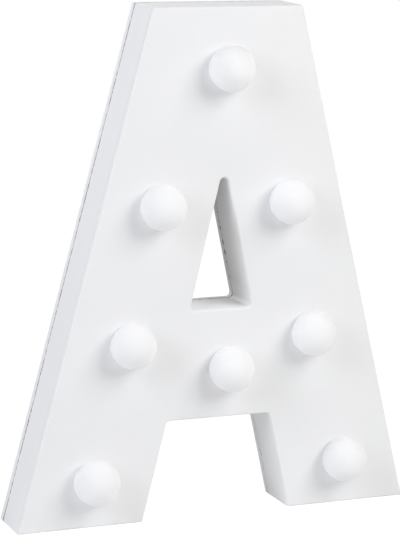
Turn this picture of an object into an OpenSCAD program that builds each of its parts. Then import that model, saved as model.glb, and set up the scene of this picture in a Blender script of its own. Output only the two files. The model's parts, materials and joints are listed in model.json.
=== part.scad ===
// Light-up letter A: a routed board shell with eight globe bulbs on its face,
// a screwed back panel, a battery tray with a hinged door and a slide switch.
// Frame: the face looks along -Y, +Z is up, the feet stand on z = 0 and
// x = 0 is the letter's middle. All sizes are in millimetres.

/* [Letter outline] */
// Height of the letter
letter_height = 225; // [215:1:245]
// Width over both feet
foot_span = 185; // [178:1:205]
// Width of the flat top
top_width = 69.5; // [66:0.5:84]
// Gap between the feet on the floor
notch_width = 70; // [58:1:76]
// Gap between the legs just under the crossbar
notch_top_width = 48.8; // [40:0.2:56]
// Height of the crossbar's underside
notch_height = 44.6; // [36:0.2:50]
// Height of the counter's lower edge
counter_base = 93.4; // [88:0.2:98]
// Width of the counter along its lower edge
counter_width = 29.4; // [24:0.2:34]
// Distance from the top down to where the counter's sides would meet
apex_depth = 66.8; // [62:0.2:72]
// Radius that the router leaves in inner corners
router_radius = 2; // [1:0.25:3]
// Radius of the eased front edges
edge_radius = 1; // [0.5:0.1:2]

/* [Carcass] */
// Thickness of the face board left by the router
face_thickness = 4; // [3:0.5:6]
// Thickness of the side walls
wall = 5; // [4:0.5:6.5]
// Thickness of the back panel
back_thickness = 4; // [3.5:0.25:6]
// Height of the shadow gap between shell and back panel
seam_gap = 0.3; // [0.2:0.05:0.6]
// Depth of the shadow gap
seam_depth = 0.6; // [0.4:0.1:1.2]
// Space between the face board and the battery tray
wiring_space = 2.2; // [1.6:0.1:6]
// Radius of the cavity's corners
cavity_radius = 3; // [2:0.5:5]

/* [Bulbs] */
// Diameter of the frosted globe
bulb_diameter = 20; // [18:0.5:24]
// Distance of the globe's centre in front of the face
bulb_stand = 5; // [4:0.25:7]
// Wall of the globe
bulb_wall = 1.2; // [0.9:0.1:1.6]
// Diameter of the neck that passes through the face
neck_diameter = 11.8; // [11:0.1:13]
// Wall of the neck
neck_wall = 1.1; // [0.8:0.1:1.4]
// Length of the neck behind the face board
neck_tail = 2.5; // [2:0.1:4]
// Height of the snap bead behind the face board
bead_height = 0.5; // [0.3:0.1:0.8]
// Length of the snap bead along the neck
bead_length = 1.2; // [0.8:0.1:1.6]
// Height of the bulbs in the feet
foot_bulb_height = 21.5; // [18:0.5:28]
// Height of the middle pair of bulbs
middle_bulb_height = 80.8; // [74:0.2:86]
// Distance from the letter's top down to the upper pair of bulbs
upper_bulb_drop = 84.5; // [79:0.5:93]
// Height of the crossbar's bulb
crossbar_bulb_height = 67.4; // [62:0.2:72]
// Distance of the crossbar's bulb to the right of the middle
crossbar_bulb_shift = 3.4; // [-6:0.2:6]
// How far the middle pair sits towards the letter's middle from the leg's centre line
middle_bulb_inset = 1.8; // [0:0.2:4]
// How far the right foot's bulb sits outside its leg's centre line
right_foot_bulb_drift = 1.6; // [0:0.2:3]

/* [Lamp holders and LEDs] */
// Diameter of the holder's flange
holder_flange_diameter = 13; // [12:0.2:16]
// Thickness of the holder's flange
holder_flange = 1.2; // [1.2:0.1:2]
// Length of the holder's barrel inside the neck
holder_barrel = 4; // [3:0.2:5]
// Diameter of the LED's dome
led_diameter = 5; // [4:0.1:5.4]
// Height of the LED over its flange
led_height = 8.6; // [7:0.1:9]
// Width of the LED's flange past its dome
led_rim = 0.4; // [0.2:0.05:0.8]
// Thickness of the LED's flange
led_flange = 1; // [0.6:0.1:1.1]
// Distance between the LED's legs
leg_pitch = 2.54; // [2.2:0.02:3]
// Side of a square leg
leg_size = 0.5; // [0.4:0.05:0.7]
// Length of the short, negative leg
short_leg = 3.5; // [2.5:0.1:4]
// How much longer the positive leg is
leg_difference = 2; // [1.7:0.1:3]
// Diameter of the wires
wire_diameter = 1.2; // [0.9:0.1:1.4]
// Length over which a wire's corner is eased
wire_bend = 3; // [2:0.2:4]

/* [Batteries] */
// Diameter of a cell
cell_diameter = 14.5; // [13.8:0.1:16]
// Length of a cell over its positive button
cell_length = 50.5; // [47:0.1:53]
// Diameter of the positive button
button_diameter = 5.5; // [4:0.1:7]
// Height of the positive button
button_height = 1; // [0.8:0.1:2]
// Gap between the two cells
cell_gap = 0.8; // [0.4:0.1:2]
// Gap between a cell and the tray's long walls
cell_play = 0.4; // [0.3:0.1:1]
// Thickness of the contact plates
contact_thickness = 0.5; // [0.3:0.05:0.8]
// Side of a contact plate
contact_side = 11; // [9:0.5:12]
// Length of a loaded contact spring
spring_length = 5; // [4.6:0.1:7]
// Diameter of the spring wire
spring_wire = 0.8; // [0.6:0.05:0.8]
// Radius of the spring's first turn, to the middle of its wire
spring_large_radius = 4.8; // [4.5:0.1:5]
// Radius of the spring's last turn, to the middle of its wire
spring_small_radius = 2.4; // [2:0.1:2.6]
// Turns of a contact spring
spring_turns = 3; // [2:1:3]
// Length of the contacts' solder tags outside the tray
tag_reach = 3; // [2:0.1:4]
// Width of the contacts' solder tags
tag_width = 3; // [2:0.1:4]

/* [Battery tray and door] */
// Thickness of the tray's walls
tray_wall = 1.5; // [1.2:0.1:2]
// Thickness of the tray's floor
tray_floor = 1.3; // [1:0.1:2]
// Gap between the tray and the counter's wall below it
tray_gap = 0.6; // [0.3:0.1:1.5]
// Gap between the tray and the lamp holder above it
top_bulb_gap = 2.1; // [1.5:0.1:4]
// Thickness of the door
door_thickness = 2; // [1.8:0.1:2.4]
// Gap round the door
door_gap = 0.3; // [0.25:0.05:0.5]
// Diameter of the door's hinge pins
pin_diameter = 1.2; // [1:0.05:1.3]
// Length of a hinge pin inside the tray's end wall
pin_length = 1.2; // [0.8:0.1:1.2]
// Width of the door's snap tongue
tongue_width = 14; // [10:0.5:20]
// Length of the slits beside the tongue
tongue_length = 8; // [5:0.5:10]
// Width of the slits
slit_width = 0.8; // [0.6:0.1:1.2]
// Depth of the door's thumb dish
dish_depth = 0.9; // [0.5:0.1:1.1]
// Radius of the ball that shapes the thumb dish
dish_radius = 14; // [10:0.5:20]
// Thickness of the tray's cradle ribs
rib_thickness = 1.5; // [1:0.1:2.5]
// Height of the cradle ribs
rib_height = 5; // [3:0.2:7]
// Distance of the tray screws from the tray's ends
ear_reach = 5; // [4.8:0.1:6]
// Radius of the ears' bosses
ear_radius = 3.5; // [3:0.1:4]
// Length of the ears' bosses
ear_length = 5; // [4.5:0.1:5.2]

/* [Slide switch] */
// Travel of the knob
switch_travel = 3; // [2:0.1:3.6]
// Length of the knob's stem along its travel
stem_length = 4; // [3:0.1:5]
// Width of the knob's stem
stem_width = 3; // [2:0.1:3.6]
// Depth of the finger dish round the knob
switch_dish_depth = 2.2; // [1.8:0.1:2.4]
// Length of the switch's frame
frame_length = 24; // [22.5:0.5:27]
// Width of the switch's frame
frame_width = 7.2; // [7:0.1:10]
// Thickness of the frame and of the can's walls
frame_thickness = 0.6; // [0.4:0.05:0.8]
// Length of the can
can_length = 13; // [12.6:0.1:13.4]
// Width of the can
can_width = 6.6; // [6.2:0.1:6.9]
// Depth of the can behind the frame
can_depth = 5.4; // [5:0.1:6.5]
// Distance between the switch's screws
switch_screw_spacing = 19; // [18.6:0.1:19.6]
// Distance between the solder lugs
lug_pitch = 3; // [2.4:0.1:3.6]
// Width of a solder lug
lug_width = 1.6; // [1.2:0.1:2]
// Thickness of a solder lug
lug_thickness = 0.5; // [0.4:0.05:0.6]
// Length of a solder lug behind the switch
lug_length = 4; // [3:0.1:4.5]
// Thickness of the board that closes the can
base_thickness = 1.2; // [0.8:0.1:1.4]
// Thickness of the slider inside the can
slider_thickness = 2.2; // [1.6:0.1:2.4]
// Thickness of the contact clip under the slider
clip_thickness = 0.3; // [0.2:0.05:0.4]
// Length of the clip's feet along the travel
clip_foot = 0.8; // [0.5:0.1:1.2]
// Width of the finger dish
switch_dish_width = 12; // [9:0.5:16]
// How much longer the finger dish is than the frame
switch_dish_margin = 4; // [3:0.5:6]
// Width and depth of the grooves in the knob
knob_groove = 0.4; // [0.2:0.05:0.6]

/* [Hanger] */
// Distance from the letter's top down to the keyhole's round entry
keyhole_drop = 19.5; // [17:0.5:24]
// Diameter of the keyhole's round entry
keyhole_diameter = 9; // [8:0.1:10]
// Width of the keyhole's slot
keyhole_slot = 4.6; // [3.6:0.1:5.4]
// Length of the keyhole's slot, between the centres of its ends
keyhole_rise = 7; // [6:0.5:9]

/* [Fasteners] */
// Shank diameter of the countersunk screws
screw_diameter = 3; // [2.5:0.1:3.4]
// Head diameter of the countersunk screws
screw_head = 6; // [5:0.1:6.4]
// Length of the back panel's screws
screw_length = 14; // [10:0.5:18]
// Length of the tray's screws
tray_screw_length = 8; // [7:0.1:8.4]
// Radius of the pads that hold the back panel's screws
pad_radius = 4.5; // [3.5:0.1:5.5]
// Distance of the back panel's screws from the inside of the walls
screw_offset = 2; // [1:0.1:3]
// Shank diameter of the switch's screws
small_screw_diameter = 2; // [1.6:0.1:2.2]
// Head diameter of the switch's screws
small_screw_head = 3.8; // [3.2:0.1:4.2]
// Head height of the switch's screws
small_screw_head_height = 1.4; // [1:0.1:1.6]
// Length of the switch's screws under the head
small_screw_length = 4.5; // [3.5:0.1:6]

/* [Fits] */
// Gap between pieces that are pushed together
push_fit = 0.1; // [0.05:0.01:0.15]
// Gap between a hinge pin and its bore
pin_fit = 0.05; // [0.03:0.01:0.09]
// Gap of a screw in its hole
screw_fit = 0.05; // [0.03:0.01:0.1]
// Gap of a loose part, such as a tray in its cut-out
loose_fit = 0.2; // [0.1:0.02:0.4]
// Gap between a wire and what it is soldered to
solder_gap = 0.2; // [0.1:0.02:0.3]
// Gap of the sliding knob
slide_gap = 0.3; // [0.2:0.02:0.35]
// How far things in the back stay below its surface
flush_drop = 0.1; // [0.05:0.01:0.2]

/* [Hidden] */
$fn = 64;
// Steps of an arc in an outline, and rings of an eased edge
arc_steps = 6;
edge_rings = 4;
// How far a cut runs past the piece that it cuts
over = 1;

// Depths, counted from the face towards the back
tray_depth = flush_drop + door_thickness + door_gap + cell_diameter + push_fit + tray_floor;
total_depth = face_thickness + wiring_space + tray_depth;
body_depth = total_depth - back_thickness;
bulb_reach = bulb_stand + bulb_diameter / 2;
// The part's middle in depth, bulbs included, is y = 0
face_y = (bulb_reach - total_depth) / 2;

// Outline corners, anticlockwise as the face is seen
letter_corners = [
  [-foot_span / 2, 0],
  [-notch_width / 2, 0],
  [-notch_top_width / 2, notch_height],
  [notch_top_width / 2, notch_height],
  [notch_width / 2, 0],
  [foot_span / 2, 0],
  [top_width / 2, letter_height],
  [-top_width / 2, letter_height]
];
counter_apex = letter_height - apex_depth;
counter_corners = [
  [-counter_width / 2, counter_base],
  [counter_width / 2, counter_base],
  [0, counter_apex]
];
counter_half_angle = atan(counter_width / 2 / (counter_apex - counter_base));
counter_tip = counter_apex - router_radius * (1 / sin(counter_half_angle) - 1);

// Turn a plane vector a quarter turn to the left, and scale one to length 1
function left_of(v) = [-v[1], v[0]];
function unit(v) = v / norm(v);
// Where the lines p + t u and q + t v meet
function meet(p, u, q, v) = p + u * cross(q - p, v) / cross(u, v);
// An anticlockwise outline with every side moved inwards by d
function inset(points, d) = [
  for (i = [0 : len(points) - 1])
    let (
      before = points[(i + len(points) - 1) % len(points)],
      here = points[i],
      after = points[(i + 1) % len(points)],
      u = unit(here - before),
      v = unit(after - here)
    ) meet(here + left_of(u) * d, u, here + left_of(v) * d, v)
];
// An outline whose corners are arcs of the given radii, where 0 keeps a sharp corner
function rounded(points, radii) = [
  for (i = [0 : len(points) - 1])
    let (
      here = points[i],
      u = unit(points[(i + len(points) - 1) % len(points)] - here),
      v = unit(points[(i + 1) % len(points)] - here),
      half = acos(u * v) / 2,
      centre = here + unit(u + v) * radii[i] / sin(half),
      from = here + u * radii[i] / tan(half) - centre,
      to = here + v * radii[i] / tan(half) - centre,
      start = atan2(from[1], from[0]),
      turn = atan2(cross(from, to), from * to)
    )
    each radii[i] == 0 ? [here] : [
      for (k = [0 : arc_steps])
        centre + radii[i] * [cos(start + turn * k / arc_steps), sin(start + turn * k / arc_steps)]
    ]
];
// The letter's outline d inside its edge, the counter's d outside its edge, and the cavity's
function letter_outline(d) =
  rounded(inset(letter_corners, d), [0, 0, router_radius + d, router_radius + d, 0, 0, 0, 0]);
function counter_outline(d) = rounded(inset(counter_corners, -d), [for (i = [0 : 2]) router_radius + d]);
function cavity_outline() = rounded(
  inset(letter_corners, wall),
  [for (i = [0 : 7]) i == 2 || i == 3 ? router_radius + wall : cavity_radius]
);

// Half width of the letter and of the gap between its legs, at a height
function outer_half(z) = (foot_span + (top_width - foot_span) * z / letter_height) / 2;
function notch_half(z) = (notch_width + (notch_top_width - notch_width) * z / notch_height) / 2;
function counter_half(z) = counter_width / 2 * (counter_apex - z) / (counter_apex - counter_base);
function bar_half(z) = (notch_top_width + (counter_width - notch_top_width)
  * (z - notch_height) / (counter_base - notch_height)) / 2;
function inner_half(z) = z < notch_height ? notch_half(z) : z < counter_base ? bar_half(z) : counter_half(z);
// Distance of a leg's centre line from the letter's middle, at a height
function leg_middle(z) = (outer_half(z) + inner_half(z)) / 2;

// Battery tray: the bay inside it and its place over the counter
bay_length = cell_length + spring_length + 2 * contact_thickness + 2 * push_fit;
bay_height = 2 * cell_diameter + cell_gap + 2 * cell_play;
tray_length = bay_length + 2 * tray_wall;
tray_height = bay_height + 2 * tray_wall;
tray_z = counter_tip + wall + tray_gap + tray_height / 2;
tray_top = tray_z + tray_height / 2;
rim_depth = total_depth - flush_drop;
door_back = rim_depth - door_thickness;
cell_depth = door_back - door_gap - cell_diameter / 2;
bay_floor = cell_depth - cell_diameter / 2 - push_fit;
cell_offset = (cell_diameter + cell_gap) / 2;
hinge_depth = rim_depth - door_thickness / 2;
hinge_z = tray_z + bay_height / 2 - door_gap - door_thickness / 2;
door_length = bay_length - 2 * door_gap;
ear_x = tray_length / 2 + ear_reach;

// Bulbs: name, place on the face and the way that the LED's legs lie
top_bulb_height = tray_top + top_bulb_gap + holder_flange_diameter / 2;
upper_bulb_height = letter_height - upper_bulb_drop;
middle_bulb_x = leg_middle(middle_bulb_height) - middle_bulb_inset;
BULBS = [
  ["top", [0, top_bulb_height], "upright"],
  ["left_upper", [-leg_middle(upper_bulb_height), upper_bulb_height], "sideways"],
  ["right_upper", [leg_middle(upper_bulb_height), upper_bulb_height], "sideways"],
  ["left_middle", [-middle_bulb_x, middle_bulb_height], "sideways"],
  ["right_middle", [middle_bulb_x, middle_bulb_height], "sideways"],
  ["crossbar", [crossbar_bulb_shift, crossbar_bulb_height], "upright"],
  ["left_foot", [-leg_middle(foot_bulb_height), foot_bulb_height], "sideways"],
  ["right_foot", [leg_middle(foot_bulb_height) + right_foot_bulb_drift, foot_bulb_height], "sideways"]
];
function bulb_named(name) = [for (b = BULBS) if (b[0] == name) b][0];
neck_length = face_thickness + neck_tail;
neck_bore = neck_diameter / 2 - neck_wall;
holder_back = neck_length + holder_flange;

// Wires: depth of each layer, and the place of a bulb's legs
wire_radius = wire_diameter / 2;
negative_depth = holder_back + short_leg + solder_gap + wire_radius;
positive_depth = negative_depth + leg_difference;
wire_sides = 8;
tag_end = tray_length / 2 + tag_reach;
wire_lane = tag_end + solder_gap + wire_radius;
function leg_way(name) = bulb_named(name)[2] == "upright" ? [0, 1] : [1, 0];
function leg_place(name, side) = bulb_named(name)[1] + leg_way(name) * side * leg_pitch / 2;

// Slide switch, half way between the upper and the middle bulb of the right leg
switch_z = (upper_bulb_height + middle_bulb_height) / 2;
switch_x = leg_middle(switch_z);
frame_depth = body_depth - frame_thickness;
can_back = frame_depth - can_depth;
can_bore_length = can_length - 2 * frame_thickness;
can_bore_width = can_width - 2 * frame_thickness;
slider_length = can_bore_length - switch_travel - 2 * slide_gap;
slider_width = can_bore_width - 2 * slide_gap;
stem_slot_length = stem_length + switch_travel + 2 * slide_gap;
stem_slot_width = stem_width + 2 * slide_gap;
slider_front = frame_depth - slide_gap;
slider_back = slider_front - slider_thickness;
lug_top = can_back + base_thickness + slide_gap;
lug_end = can_back - lug_length;
switch_wire_depth = lug_end - solder_gap - wire_radius;
off_shift = -switch_travel / 2;

// Screws of the back panel: one in each corner and one half way up each side
function screw_corners() = inset(letter_corners, wall + screw_offset);
screw_points = concat(
  screw_corners(),
  [(screw_corners()[5] + screw_corners()[6]) / 2, (screw_corners()[7] + screw_corners()[0]) / 2]
);
keyhole_z = letter_height - keyhole_drop;
head_cone = (screw_head - screw_diameter) / 2;

// Contact springs: a conical coil of one wire, with a straight end square to plate and cell
spring_rings = 8;
spring_sides = 6;
spring_steps = spring_turns * spring_rings;
spring_rise = spring_length - 2 * spring_wire;
function spring_radius(k) =
  spring_large_radius + (spring_small_radius - spring_large_radius) * k / spring_steps;
function spring_spoke(k) = [0, cos(360 * k / spring_rings), sin(360 * k / spring_rings)];
function spring_coil() = [
  for (k = [0 : spring_steps])
    spring_spoke(k) * spring_radius(k) + [spring_wire + spring_rise * k / spring_steps, 0, 0]
];
spring_path = concat(
  [spring_spoke(0) * spring_radius(0)],
  spring_coil(),
  [spring_spoke(spring_steps) * spring_radius(spring_steps) + [spring_length, 0, 0]]
);
spring_spokes = concat(
  [spring_spoke(0)],
  [for (k = [0 : spring_steps]) spring_spoke(k)],
  [spring_spoke(spring_steps)]
);
// Least gap between turns, measured from point to point past half a turn
spring_self_gap = min([
  for (i = [0 : len(spring_path) - 1]) for (j = [i + spring_rings / 2 : len(spring_path) - 1])
    if (j < len(spring_path)) norm(spring_path[i] - spring_path[j]) - spring_wire
]);
echo(spring_self_gap = spring_self_gap);

// A flat outline standing upright, from one depth to another
module slab(from, to) {
  translate([0, face_y + to, 0]) rotate([90, 0, 0]) linear_extrude(to - from) children();
}
// A round rod along the depth at a place on the face, tapered where the radii differ
module rod(place, from, to, radius, front_radius = undef) {
  translate([place[0], face_y + to, place[1]]) rotate([90, 0, 0])
    cylinder(h = to - from, r1 = radius, r2 = is_undef(front_radius) ? radius : front_radius);
}
// A box by its lowest and highest x, depth and z
module box(x, depth, z) {
  translate([x[0], face_y + depth[0], z[0]]) cube([x[1] - x[0], depth[1] - depth[0], z[1] - z[0]]);
}
// A round rod along x at a depth and height
module bar(from, to, depth, z, radius) {
  translate([from, face_y + depth, z]) rotate([0, 90, 0]) cylinder(h = to - from, r = radius);
}
// A profile turned about the line through a place on the face, with its y towards the front
module turned(place) {
  translate([place[0], face_y, place[1]]) rotate([90, 0, 0]) rotate_extrude() children();
}
// A solid through outlines of equal length, each at its own depth, closed by triangles over
// one outline's points, anticlockwise as the face is seen
module loft(outlines, depths, cap) {
  n = len(outlines[0]);
  last = len(outlines) - 1;
  points = [for (k = [0 : last]) for (p = outlines[k]) [p[0], face_y + depths[k], p[1]]];
  sides = [
    for (k = [0 : last - 1]) for (i = [0 : n - 1])
      let (a = k * n + i, b = k * n + (i + 1) % n)
      each [[a, b, b + n], [a, b + n, a + n]]
  ];
  front = [for (t = cap) [t[2], t[1], t[0]]];
  back = [for (t = cap) [for (i = t) last * n + i]];
  polyhedron(points, concat(front, sides, back));
}
// Triangles over the letter's outline: a fan from each end of the flat top
function letter_cap() =
  let (
    left = len(letter_outline(0)) - 1,
    right = left - 1,
    split = 3 + arc_steps
  )
  concat(
    [for (i = [0 : split - 1]) [left, i, i + 1]],
    [[left, split, right]],
    [for (i = [split : right - 2]) [right, i, i + 1]]
  );
// Triangles over the counter's outline: a fan from its first point
function counter_cap() = [for (i = [1 : len(counter_outline(0)) - 2]) [0, i, i + 1]];
// A round tube along 3-D points, with one reference direction per point
module tube(points, sideways, radius, sides) {
  n = len(points) - 1;
  rings = [
    for (i = [0 : n])
      let (
        along = unit(points[min(i + 1, n)] - points[max(i - 1, 0)]),
        u = unit(sideways[i] - along * (along * sideways[i])),
        v = cross(along, u)
      )
      for (k = [0 : sides - 1]) points[i] + radius * (u * cos(360 * k / sides) + v * sin(360 * k / sides))
  ];
  walls = [
    for (i = [0 : n - 1]) for (k = [0 : sides - 1])
      let (a = i * sides + k, b = i * sides + (k + 1) % sides)
      each [[a, b + sides, b], [a, a + sides, b + sides]]
  ];
  start = [[for (k = [0 : sides - 1]) k]];
  end = [[for (k = [sides - 1 : -1 : 0]) n * sides + k]];
  polyhedron(rings, concat(start, walls, end));
}
// A route of straight runs whose corners are eased over a length
function eased(route, length) = concat(
  [route[0]],
  [
    for (i = [1 : len(route) - 2])
      let (
        u = unit(route[i - 1] - route[i]),
        v = unit(route[i + 1] - route[i]),
        start = route[i] + u * length,
        end = route[i] + v * length
      )
      each [start, (start + 2 * route[i] + end) / 4, end]
  ],
  [route[len(route) - 1]]
);
// A wire in one layer, along places on the face
module wire(route, depth) {
  path = eased(route, wire_bend);
  tube([for (p = path) [p[0], face_y + depth, p[1]]], [for (p = path) [0, 1, 0]], wire_radius, wire_sides);
}

// Depth and inset of each ring of an eased front edge
function edge_depth(k) = edge_radius * (1 - cos(90 * k / edge_rings));
function edge_inset(k) = edge_radius * (1 - sin(90 * k / edge_rings));

// The shell: face, walls and screw pads from one board
module front_shell() {
  color("white") difference() {
    union() {
      difference() {
        shell_blank();
        slab(face_thickness, body_depth + over) polygon(cavity_outline());
      }
      slab(face_thickness, body_depth) polygon(counter_outline(wall));
      for (p = screw_points) rod(p, face_thickness, body_depth, pad_radius);
    }
    counter_cut();
    for (b = BULBS) rod(b[1], -over, face_thickness + over, neck_diameter / 2 + push_fit);
    for (p = screw_points)
      rod(p, body_depth - screw_length, body_depth + over, screw_diameter / 2 + screw_fit);
  }
}
module shell_blank() {
  loft(
    [for (k = [0 : edge_rings]) letter_outline(edge_inset(k))],
    [for (k = [0 : edge_rings]) edge_depth(k)],
    letter_cap()
  );
  slab(edge_radius, body_depth) polygon(letter_outline(0));
}
// The counter through the shell, flared by the eased edge at the face
module counter_cut() {
  loft(
    concat(
      [counter_outline(edge_radius)],
      [for (k = [0 : edge_rings]) counter_outline(edge_inset(k))],
      [counter_outline(0)]
    ),
    concat([-over], [for (k = [0 : edge_rings]) edge_depth(k)], [body_depth + over]),
    counter_cap()
  );
}

// The back panel, with a shadow gap round its edge
module back_panel() {
  color("white") difference() {
    union() {
      slab(body_depth + seam_gap, total_depth) polygon(letter_outline(0));
      slab(body_depth, body_depth + seam_gap) polygon(letter_outline(seam_depth));
    }
    slab(body_depth - over, total_depth + over) polygon(counter_outline(0));
    slab(body_depth - over, body_depth + seam_gap) polygon(counter_outline(seam_depth));
    tray_cut_out();
    switch_cut_out();
    keyhole();
    for (p = screw_points) countersunk_hole(p);
    for (side = [-1, 1]) countersunk_hole([side * ear_x, tray_z]);
  }
}
module tray_cut_out() {
  box(
    [-tray_length / 2 - loose_fit, tray_length / 2 + loose_fit],
    [body_depth - over, total_depth + over],
    [tray_z - tray_height / 2 - loose_fit, tray_top + loose_fit]
  );
}
module switch_cut_out() {
  slab(total_depth - switch_dish_depth, total_depth + over) translate([switch_x, switch_z])
    stadium(frame_length + switch_dish_margin, switch_dish_width);
  switch_box(stem_slot_length, stem_slot_width, body_depth - over, total_depth);
  for (side = [-1, 1])
    rod([switch_x + side * switch_screw_spacing / 2, switch_z], body_depth - over, total_depth,
      small_screw_diameter / 2 + screw_fit);
}
// A flat shape with straight sides and round ends
module stadium(length, width) {
  square([length - width, width], center = true);
  for (side = [-1, 1]) translate([side * (length - width) / 2, 0]) circle(d = width);
}
module keyhole() {
  rod([0, keyhole_z], body_depth - over, total_depth + over, keyhole_diameter / 2);
  rod([0, keyhole_z + keyhole_rise], body_depth - over, total_depth + over, keyhole_slot / 2);
  box(
    [-keyhole_slot / 2, keyhole_slot / 2],
    [body_depth - over, total_depth + over],
    [keyhole_z, keyhole_z + keyhole_rise]
  );
}

// Countersunk screws: the head's cone is as deep as it is wide past the shank
module countersunk_hole(place) {
  rod(place, body_depth - over, total_depth, screw_diameter / 2 + screw_fit);
  rod(place, rim_depth - head_cone, rim_depth, screw_head / 2 + screw_fit, screw_diameter / 2 + screw_fit);
  rod(place, rim_depth, total_depth + over, screw_head / 2 + screw_fit);
}
module countersunk_screw(place, length) {
  difference() {
    union() {
      rod(place, rim_depth - head_cone, rim_depth, screw_head / 2, screw_diameter / 2);
      rod(place, rim_depth - length, rim_depth - head_cone, screw_diameter / 2);
    }
    cross_recess(place, rim_depth, screw_diameter);
  }
}
module cross_recess(place, surface, size) {
  slot = size / 4;
  for (turn = [[size, slot], [slot, size]])
    box(
      [place[0] - turn[0] / 2, place[0] + turn[0] / 2],
      [surface - size / 3, surface + over],
      [place[1] - turn[1] / 2, place[1] + turn[1] / 2]
    );
}
module back_screws() {
  color("silver") for (p = screw_points) countersunk_screw(p, screw_length - loose_fit);
}
module tray_screws() {
  color("silver") for (side = [-1, 1]) countersunk_screw([side * ear_x, tray_z], tray_screw_length);
}

// A hollow globe that seats flat on the face, with a neck and a snap bead behind it
module bulb(place) {
  color("lavender") turned(place) difference() {
    union() {
      globe(bulb_diameter / 2, 0);
      translate([0, -neck_length]) square([neck_diameter / 2, neck_length]);
      translate([0, -face_thickness - push_fit - bead_length])
        square([neck_diameter / 2 + bead_height, bead_length]);
    }
    globe(bulb_diameter / 2 - bulb_wall, bulb_wall);
    translate([0, -neck_length - over]) square([neck_bore, neck_length + over + bulb_stand]);
  }
}
// Half of a ball's section, cut off flat at a height over the face
module globe(radius, floor_height) {
  intersection() {
    translate([0, bulb_stand]) circle(radius);
    translate([0, floor_height]) square([radius + over, 2 * radius + bulb_stand]);
  }
}

// A plug that closes the neck and carries the LED
module lamp_holder(place) {
  color("white") turned(place) difference() {
    union() {
      translate([0, -holder_back]) square([holder_flange_diameter / 2, holder_flange]);
      translate([0, -holder_back]) square([neck_bore - push_fit, holder_flange + holder_barrel]);
    }
    translate([0, -holder_back - over]) square([led_diameter / 2 + push_fit, neck_length + over]);
    translate([0, -holder_back - over]) square([led_diameter / 2 + led_rim + push_fit, led_flange + over]);
  }
}

// An LED whose flange lies in the holder, with a short and a long leg
module led(name) {
  place = bulb_named(name)[1];
  color("lightyellow") {
    turned(place) {
      translate([0, -holder_back]) square([led_diameter / 2, led_height - led_diameter / 2]);
      translate([0, -holder_back]) square([led_diameter / 2 + led_rim, led_flange - push_fit]);
      intersection() {
        translate([0, led_height - led_diameter / 2 - holder_back]) circle(led_diameter / 2);
        translate([0, -holder_back]) square([led_diameter, led_height + over]);
      }
    }
    for (side = [-1, 1]) {
      leg = leg_place(name, side);
      box(
        [leg[0] - leg_size / 2, leg[0] + leg_size / 2],
        [holder_back - led_flange / 2, holder_back + short_leg + (side > 0 ? leg_difference : 0)],
        [leg[1] - leg_size / 2, leg[1] + leg_size / 2]
      );
    }
  }
}

// Bus wires: from the right upper bulb round the tray to the top and down the left leg,
// and a branch from the left leg over the crossbar to the right leg
module bus(side, depth) {
  leg_to = function(name) leg_place(name, side);
  rise = tray_top + 2 * wire_diameter;
  fall = tray_z - tray_height / 2 - wire_bend;
  right = leg_to("right_upper");
  top = leg_to("top");
  wire([
    right - [0, wire_diameter],
    right + [0, wire_bend],
    [wire_lane, fall],
    [wire_lane, rise],
    [wire_lane - 3 * wire_bend, top[1]],
    [3 * wire_bend - wire_lane, top[1]],
    [-wire_lane, rise],
    [-wire_lane, fall],
    leg_to("left_upper"),
    leg_to("left_middle"),
    leg_to("left_foot"),
    leg_to("left_foot") + unit(leg_to("left_foot") - leg_to("left_middle")) * wire_diameter
  ], depth);
  down = unit(leg_to("left_foot") - leg_to("left_middle"));
  fork = leg_to("left_middle") + down * 2 * wire_bend + [wire_diameter, 0];
  away = unit(leg_to("right_foot") - leg_to("right_middle"));
  wire([
    fork,
    fork + [wire_bend + wire_diameter, 0],
    leg_to("crossbar"),
    leg_to("right_middle") - away * 2 * wire_bend,
    leg_to("right_middle") + away * 2 * wire_bend,
    leg_to("right_foot") + away * wire_diameter
  ], depth);
}
module wire_positive() {
  color("firebrick") bus(1, positive_depth);
}
module wire_negative() {
  color("dimgray") bus(-1, negative_depth);
}
// From the positive contact to the switch, and from the switch to the right upper bulb
module switch_wires() {
  contact = [tag_end + solder_gap, tray_z + cell_offset];
  feed_lane = contact[0] + wire_bend + wire_diameter;
  feed_lug = [switch_x + lug_pitch, switch_z];
  out_lug = [switch_x, switch_z];
  leg_side = leg_place("right_upper", 1) - [0, leg_size / 2 + solder_gap];
  color("firebrick") {
    wire([
      contact,
      [feed_lane, contact[1]],
      [feed_lane, upper_bulb_height],
      feed_lug + [0, 2 * wire_bend],
      feed_lug - [0, wire_diameter]
    ], switch_wire_depth);
    wire([
      out_lug - [0, wire_diameter],
      out_lug + [0, 2 * wire_bend],
      leg_side - [0, 2 * wire_bend],
      leg_side
    ], switch_wire_depth);
  }
}

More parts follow.
